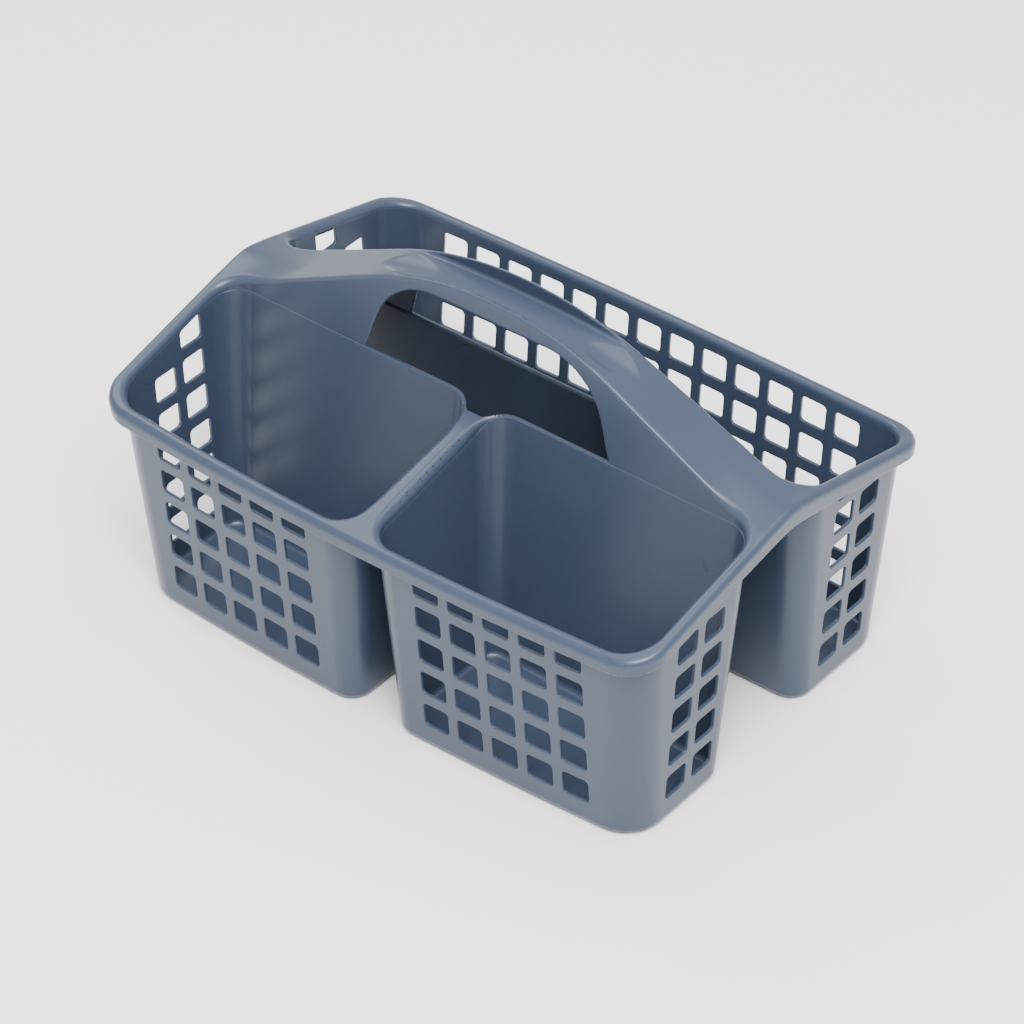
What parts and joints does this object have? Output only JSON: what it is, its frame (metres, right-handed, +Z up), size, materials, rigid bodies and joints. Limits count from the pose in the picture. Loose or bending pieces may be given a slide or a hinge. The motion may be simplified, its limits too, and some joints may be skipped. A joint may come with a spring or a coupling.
{
  "type": "cleaning caddy",
  "caption": "Moulded plastic cleaning caddy with two perforated front bins, a full-length rear bin and an arched open-channel carrying handle.",
  "frame": {"origin": "centre of the footprint on the standing surface", "axes": "+X along the handle, -Y towards the side with two front bins, +Z up"},
  "size_m": [0.3612, 0.2563, 0.2095],
  "materials": {
    "slate_plastic": "semi-gloss slate-blue moulded polypropylene"
  },
  "bodies": {
    "root": {"front_left_bin": "slate_plastic", "front_right_bin": "slate_plastic", "rear_bin": "slate_plastic", "front_rim": "slate_plastic", "rear_rim": "slate_plastic", "bin_bridge": "slate_plastic", "left_shoulder": "slate_plastic", "right_shoulder": "slate_plastic", "handle_left_arm": "slate_plastic", "handle_right_arm": "slate_plastic", "handle_grip": "slate_plastic"}
  },
  "joints": []
}
